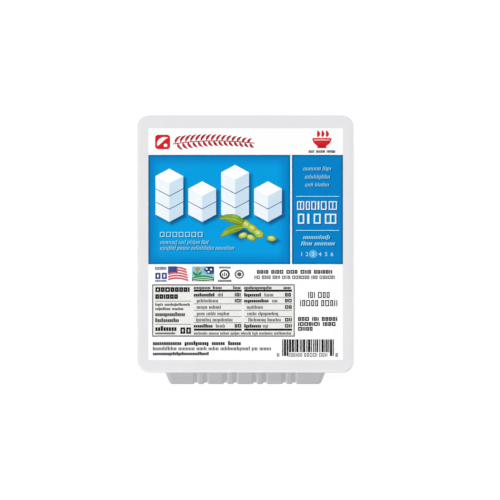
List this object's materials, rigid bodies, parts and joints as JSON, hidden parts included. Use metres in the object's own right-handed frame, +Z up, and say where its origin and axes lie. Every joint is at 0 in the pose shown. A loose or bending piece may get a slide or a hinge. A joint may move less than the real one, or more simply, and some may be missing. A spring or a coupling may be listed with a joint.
{
  "type": "sealed tofu pack",
  "caption": "Sealed tofu pack: a white tapering tray with fluted walls and a wide flange, filled with tofu and water and shut by a flat printed film.",
  "frame": {"origin": "middle of the foot, on the surface that the pack stands on", "axes": "+X to the right across the pack, +Y to the back along its long side, +Z up through the film"},
  "size_m": [0.108, 0.137, 0.046],
  "materials": {
    "tray_plastic": "satin white polypropylene",
    "printed_film": "printed plastic film, white with blue panels"
  },
  "bodies": {
    "root": {"tray": "tray_plastic", "lid_film": "printed_film"}
  },
  "joints": []
}
